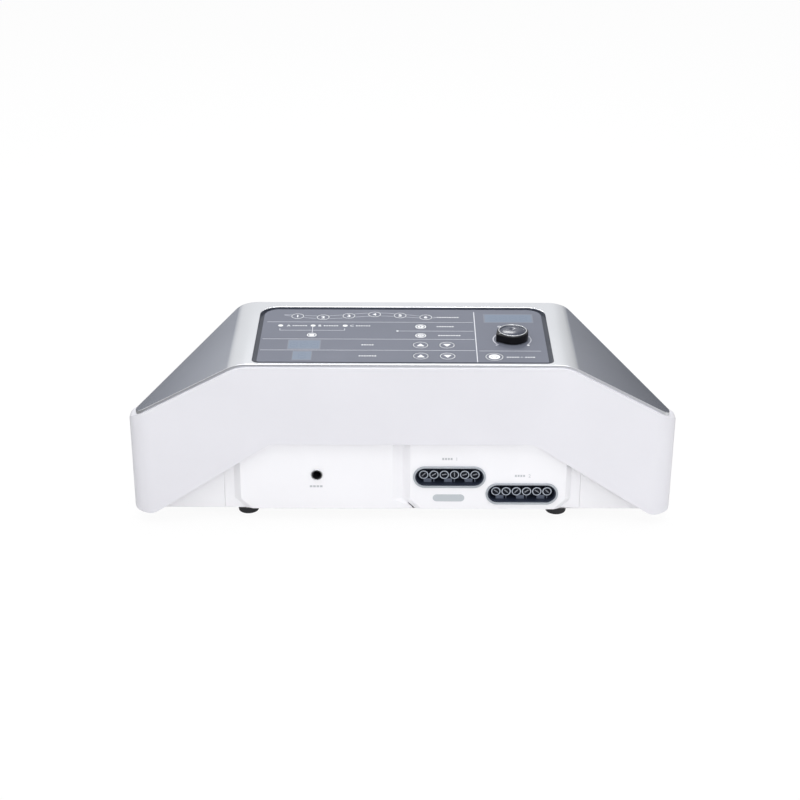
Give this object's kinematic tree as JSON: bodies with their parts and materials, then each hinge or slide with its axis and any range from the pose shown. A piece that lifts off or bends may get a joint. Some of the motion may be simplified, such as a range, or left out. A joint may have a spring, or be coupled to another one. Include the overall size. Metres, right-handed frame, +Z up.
{
  "type": "compression therapy pump",
  "caption": "Table-top air compression therapy pump: arched white housing under a wrapped silver cover, with a keypad, a pressure knob and two front hose sockets.",
  "frame": {"origin": "middle of the width and depth, at the plane the feet stand on", "axes": "+X to the right as seen from the front, +Y from the front to the back, +Z up"},
  "size_m": [0.435, 0.1292, 0.1489],
  "materials": {
    "housing_grey": "fine matt moulding",
    "housing_white": "satin white moulding",
    "silver_cover": "silver metallic paint, satin",
    "black_rubber": "matt",
    "overlay_film": "fine-grained matt film with printed marks",
    "window_film": "smooth dark film",
    "light_lens": "clear lens",
    "circuit_board": "green lacquer",
    "display_plastic": "smooth",
    "black_plastic": "fine matt moulding",
    "zinc_parts": "turned",
    "chrome_trim": "polished",
    "socket_plastic": "dark blue-black satin moulding",
    "bezel_grey": "satin grey",
    "label_film": "satin film",
    "steel_screws": "plated",
    "pump_casting": "as cast",
    "clear_moulding": "natural moulding",
    "hose_silicone": "translucent silicone",
    "transformer_core": "varnished laminations",
    "rocker_plastic": "satin with a moulded face",
    "knob_black": "satin",
    "knob_cap_gloss": "polished"
  },
  "bodies": {
    "housing": {"base_housing": "housing_grey", "left_wing_cover": "housing_white", "right_wing_cover": "housing_white", "front_fascia": "housing_white", "front_panel": "housing_white", "socket_plate": "housing_white", "rear_cover": "housing_white", "top_cover": "silver_cover", "panel_gasket": "black_rubber", "control_overlay": "overlay_film", "pressure_window": "window_film", "time_window": "window_film", "speed_window": "window_film", "mode_lights": "light_lens", "display_board": "circuit_board", "digit_displays": "display_plastic", "tact_switches": "black_plastic", "potentiometer": "zinc_parts", "jack_body": "black_plastic", "jack_nut": "chrome_trim", "hose_socket_1": "socket_plastic", "hose_socket_2": "socket_plastic", "socket_bezel_1": "bezel_grey", "socket_bezel_2": "bezel_grey", "socket_valves_1": "black_rubber", "socket_valves_2": "black_rubber", "label_plate": "label_film", "rubber_feet": "black_rubber", "foot_screws": "steel_screws", "rear_screws": "steel_screws", "compressor": "pump_casting", "compressor_mounts": "black_rubber", "valve_manifold": "clear_moulding", "solenoid_valves": "black_plastic", "air_hoses": "hose_silicone", "main_board": "circuit_board", "transformer": "transformer_core", "mains_inlet": "black_plastic", "fuse_holder": "black_plastic", "switch_housing": "black_plastic"},
    "pressure_knob": {"knob_shaft": "zinc_parts", "knob_body": "knob_black", "knob_ring": "chrome_trim", "knob_cap": "knob_cap_gloss"},
    "rocker": {"power_rocker": "rocker_plastic"},
    "key_1_cap": {"key_1": "overlay_film"},
    "key_2_cap": {"key_2": "overlay_film"},
    "key_3_cap": {"key_3": "overlay_film"},
    "key_4_cap": {"key_4": "overlay_film"},
    "key_5_cap": {"key_5": "overlay_film"},
    "key_6_cap": {"key_6": "overlay_film"},
    "key_mode_cap": {"key_mode": "overlay_film"},
    "key_program_cap": {"key_program": "overlay_film"},
    "key_interval_cap": {"key_interval": "overlay_film"},
    "key_time_up_cap": {"key_time_up": "overlay_film"},
    "key_time_down_cap": {"key_time_down": "overlay_film"},
    "key_speed_up_cap": {"key_speed_up": "overlay_film"},
    "key_speed_down_cap": {"key_speed_down": "overlay_film"},
    "key_start_stop_cap": {"key_start_stop": "overlay_film"}
  },
  "joints": [
    {"name": "pressure_knob_turn", "type": "hinge", "parent": "housing", "child": "pressure_knob", "pos_m": [0.0879, -0.0107, 0.141], "axis": [0, 0, 1], "range_deg": [-246, 16]},
    {"name": "power_rocker_tilt", "type": "hinge", "parent": "housing", "child": "rocker", "pos_m": [-0.072, 0.05896, 0.038], "axis": [1, 0, 0], "range_deg": [-20, 0]},
    {"name": "key_1_press", "type": "slide", "parent": "housing", "child": "key_1_cap", "axis": [0, 0, -1], "range_m": [0, 0.0005], "stiffness_N_per_m": 800, "springref_m": -0.0003},
    {"name": "key_2_press", "type": "slide", "parent": "housing", "child": "key_2_cap", "axis": [0, 0, -1], "range_m": [0, 0.0005], "stiffness_N_per_m": 800, "springref_m": -0.0003},
    {"name": "key_3_press", "type": "slide", "parent": "housing", "child": "key_3_cap", "axis": [0, 0, -1], "range_m": [0, 0.0005], "stiffness_N_per_m": 800, "springref_m": -0.0003},
    {"name": "key_4_press", "type": "slide", "parent": "housing", "child": "key_4_cap", "axis": [0, 0, -1], "range_m": [0, 0.0005], "stiffness_N_per_m": 800, "springref_m": -0.0003},
    {"name": "key_5_press", "type": "slide", "parent": "housing", "child": "key_5_cap", "axis": [0, 0, -1], "range_m": [0, 0.0005], "stiffness_N_per_m": 800, "springref_m": -0.0003},
    {"name": "key_6_press", "type": "slide", "parent": "housing", "child": "key_6_cap", "axis": [0, 0, -1], "range_m": [0, 0.0005], "stiffness_N_per_m": 800, "springref_m": -0.0003},
    {"name": "key_mode_press", "type": "slide", "parent": "housing", "child": "key_mode_cap", "axis": [0, 0, -1], "range_m": [0, 0.0005], "stiffness_N_per_m": 800, "springref_m": -0.0003},
    {"name": "key_program_press", "type": "slide", "parent": "housing", "child": "key_program_cap", "axis": [0, 0, -1], "range_m": [0, 0.0005], "stiffness_N_per_m": 800, "springref_m": -0.0003},
    {"name": "key_interval_press", "type": "slide", "parent": "housing", "child": "key_interval_cap", "axis": [0, 0, -1], "range_m": [0, 0.0005], "stiffness_N_per_m": 800, "springref_m": -0.0003},
    {"name": "key_time_up_press", "type": "slide", "parent": "housing", "child": "key_time_up_cap", "axis": [0, 0, -1], "range_m": [0, 0.0005], "stiffness_N_per_m": 800, "springref_m": -0.0003},
    {"name": "key_time_down_press", "type": "slide", "parent": "housing", "child": "key_time_down_cap", "axis": [0, 0, -1], "range_m": [0, 0.0005], "stiffness_N_per_m": 800, "springref_m": -0.0003},
    {"name": "key_speed_up_press", "type": "slide", "parent": "housing", "child": "key_speed_up_cap", "axis": [0, 0, -1], "range_m": [0, 0.0005], "stiffness_N_per_m": 800, "springref_m": -0.0003},
    {"name": "key_speed_down_press", "type": "slide", "parent": "housing", "child": "key_speed_down_cap", "axis": [0, 0, -1], "range_m": [0, 0.0005], "stiffness_N_per_m": 800, "springref_m": -0.0003},
    {"name": "key_start_stop_press", "type": "slide", "parent": "housing", "child": "key_start_stop_cap", "axis": [0, 0, -1], "range_m": [0, 0.0005], "stiffness_N_per_m": 800, "springref_m": -0.0003}
  ]
}
